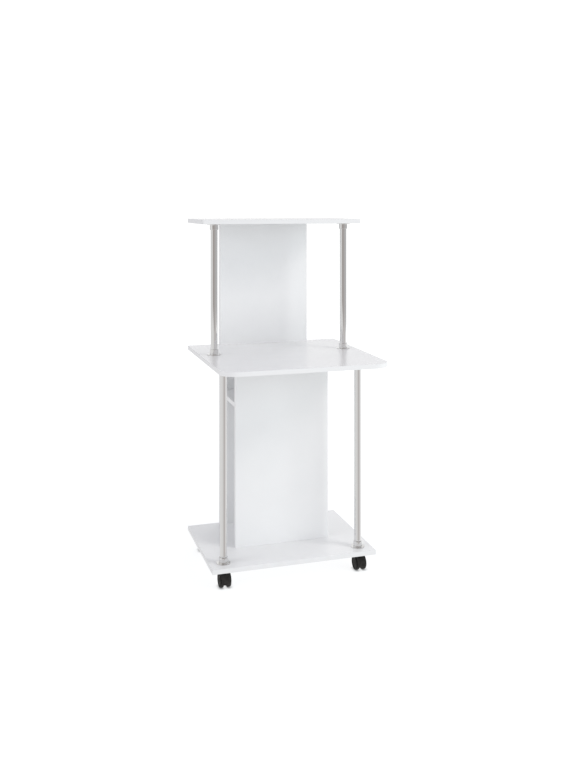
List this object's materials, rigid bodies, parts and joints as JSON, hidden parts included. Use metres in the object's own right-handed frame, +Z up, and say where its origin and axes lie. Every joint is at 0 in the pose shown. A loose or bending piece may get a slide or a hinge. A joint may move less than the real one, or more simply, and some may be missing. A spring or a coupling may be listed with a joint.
{
  "type": "mobile computer stand",
  "caption": "Tall narrow computer stand on castors: bay for the computer case on the base, worktop with round front corners, top shelf, white boards and chrome tubes.",
  "frame": {"origin": "on the floor under the castors, at the centre of the worktop's outline seen from above", "axes": "+Z up, +X to the right as the user sits at the stand, -Y towards the user; the boards' flush back edges face +Y"},
  "size_m": [0.6, 0.59, 1.265],
  "materials": {
    "white_laminate": "smooth semi-gloss white melamine on particle board",
    "white_edging": "satin white plastic edging",
    "polished_chrome": "polished chrome plate on steel",
    "nickel_screws": "nickel-plated countersunk heads",
    "zinc_screws": "bright zinc plate",
    "cast_zinc": "dull zinc die casting",
    "zinc_plate": "pressed steel, zinc plated",
    "beech": "fluted beech",
    "black_hood": "black moulded nylon, semi-gloss",
    "black_wheel": "black moulded nylon, satin",
    "bare_steel": "bare turned steel"
  },
  "bodies": {
    "stand": {"back_left_castor_kingpin": "bare_steel", "back_left_castor_plate": "zinc_plate", "back_right_castor_kingpin": "bare_steel", "back_right_castor_plate": "zinc_plate", "base_board": "white_laminate", "base_edge_bands": "white_edging", "cam_bolts": "zinc_screws", "cam_locks": "cast_zinc", "castor_grip_rings": "bare_steel", "castor_plate_screws": "zinc_screws", "dowels": "beech", "flange_grub_screws": "zinc_screws", "flange_screws": "nickel_screws", "front_left_castor_kingpin": "bare_steel", "front_left_castor_plate": "zinc_plate", "front_panel": "white_laminate", "front_panel_edge_bands": "white_edging", "front_right_castor_kingpin": "bare_steel", "front_right_castor_plate": "zinc_plate", "lower_back_panel": "white_laminate", "lower_back_panel_edge_bands": "white_edging", "lower_left_tube": "polished_chrome", "lower_left_tube_bottom_flange": "polished_chrome", "lower_left_tube_top_flange": "polished_chrome", "lower_right_tube": "polished_chrome", "lower_right_tube_bottom_flange": "polished_chrome", "lower_right_tube_top_flange": "polished_chrome", "middle_shelf": "white_laminate", "middle_shelf_edge_bands": "white_edging", "top_shelf_board": "white_laminate", "top_shelf_edge_bands": "white_edging", "upper_back_panel": "white_laminate", "upper_back_panel_edge_bands": "white_edging", "upper_left_tube": "polished_chrome", "upper_left_tube_bottom_flange": "polished_chrome", "upper_left_tube_top_flange": "polished_chrome", "upper_right_tube": "polished_chrome", "upper_right_tube_bottom_flange": "polished_chrome", "upper_right_tube_top_flange": "polished_chrome", "worktop_board": "white_laminate", "worktop_edge_bands": "white_edging"},
    "front_left_castor": {"front_left_castor_housing": "black_hood", "front_left_castor_axle": "bare_steel"},
    "front_left_castor_left_wheel": {"front_left_castor_left_wheel": "black_wheel"},
    "front_left_castor_right_wheel": {"front_left_castor_right_wheel": "black_wheel"},
    "front_right_castor": {"front_right_castor_housing": "black_hood", "front_right_castor_axle": "bare_steel"},
    "front_right_castor_left_wheel": {"front_right_castor_left_wheel": "black_wheel"},
    "front_right_castor_right_wheel": {"front_right_castor_right_wheel": "black_wheel"},
    "back_left_castor": {"back_left_castor_housing": "black_hood", "back_left_castor_axle": "bare_steel"},
    "back_left_castor_left_wheel": {"back_left_castor_left_wheel": "black_wheel"},
    "back_left_castor_right_wheel": {"back_left_castor_right_wheel": "black_wheel"},
    "back_right_castor": {"back_right_castor_housing": "black_hood", "back_right_castor_axle": "bare_steel"},
    "back_right_castor_left_wheel": {"back_right_castor_left_wheel": "black_wheel"},
    "back_right_castor_right_wheel": {"back_right_castor_right_wheel": "black_wheel"}
  },
  "joints": [
    {"name": "front_left_castor_swivel", "type": "hinge", "parent": "stand", "child": "front_left_castor", "pos_m": [-0.25, -0.095, 0.045], "axis": [0, 0, 1], "continuous": true},
    {"name": "front_left_castor_left_wheel_spin", "type": "hinge", "parent": "front_left_castor", "child": "front_left_castor_left_wheel", "pos_m": [-0.26325, -0.107, 0.025], "axis": [1, 0, 0], "continuous": true},
    {"name": "front_left_castor_right_wheel_spin", "type": "hinge", "parent": "front_left_castor", "child": "front_left_castor_right_wheel", "pos_m": [-0.23675, -0.107, 0.025], "axis": [1, 0, 0], "continuous": true},
    {"name": "front_right_castor_swivel", "type": "hinge", "parent": "stand", "child": "front_right_castor", "pos_m": [0.25, -0.095, 0.045], "axis": [0, 0, 1], "continuous": true},
    {"name": "front_right_castor_left_wheel_spin", "type": "hinge", "parent": "front_right_castor", "child": "front_right_castor_left_wheel", "pos_m": [0.23675, -0.107, 0.025], "axis": [1, 0, 0], "continuous": true},
    {"name": "front_right_castor_right_wheel_spin", "type": "hinge", "parent": "front_right_castor", "child": "front_right_castor_right_wheel", "pos_m": [0.26325, -0.107, 0.025], "axis": [1, 0, 0], "continuous": true},
    {"name": "back_left_castor_swivel", "type": "hinge", "parent": "stand", "child": "back_left_castor", "pos_m": [-0.25, 0.245, 0.045], "axis": [0, 0, 1], "continuous": true},
    {"name": "back_left_castor_left_wheel_spin", "type": "hinge", "parent": "back_left_castor", "child": "back_left_castor_left_wheel", "pos_m": [-0.26325, 0.233, 0.025], "axis": [1, 0, 0], "continuous": true},
    {"name": "back_left_castor_right_wheel_spin", "type": "hinge", "parent": "back_left_castor", "child": "back_left_castor_right_wheel", "pos_m": [-0.23675, 0.233, 0.025], "axis": [1, 0, 0], "continuous": true},
    {"name": "back_right_castor_swivel", "type": "hinge", "parent": "stand", "child": "back_right_castor", "pos_m": [0.25, 0.245, 0.045], "axis": [0, 0, 1], "continuous": true},
    {"name": "back_right_castor_left_wheel_spin", "type": "hinge", "parent": "back_right_castor", "child": "back_right_castor_left_wheel", "pos_m": [0.23675, 0.233, 0.025], "axis": [1, 0, 0], "continuous": true},
    {"name": "back_right_castor_right_wheel_spin", "type": "hinge", "parent": "back_right_castor", "child": "back_right_castor_right_wheel", "pos_m": [0.26325, 0.233, 0.025], "axis": [1, 0, 0], "continuous": true}
  ]
}
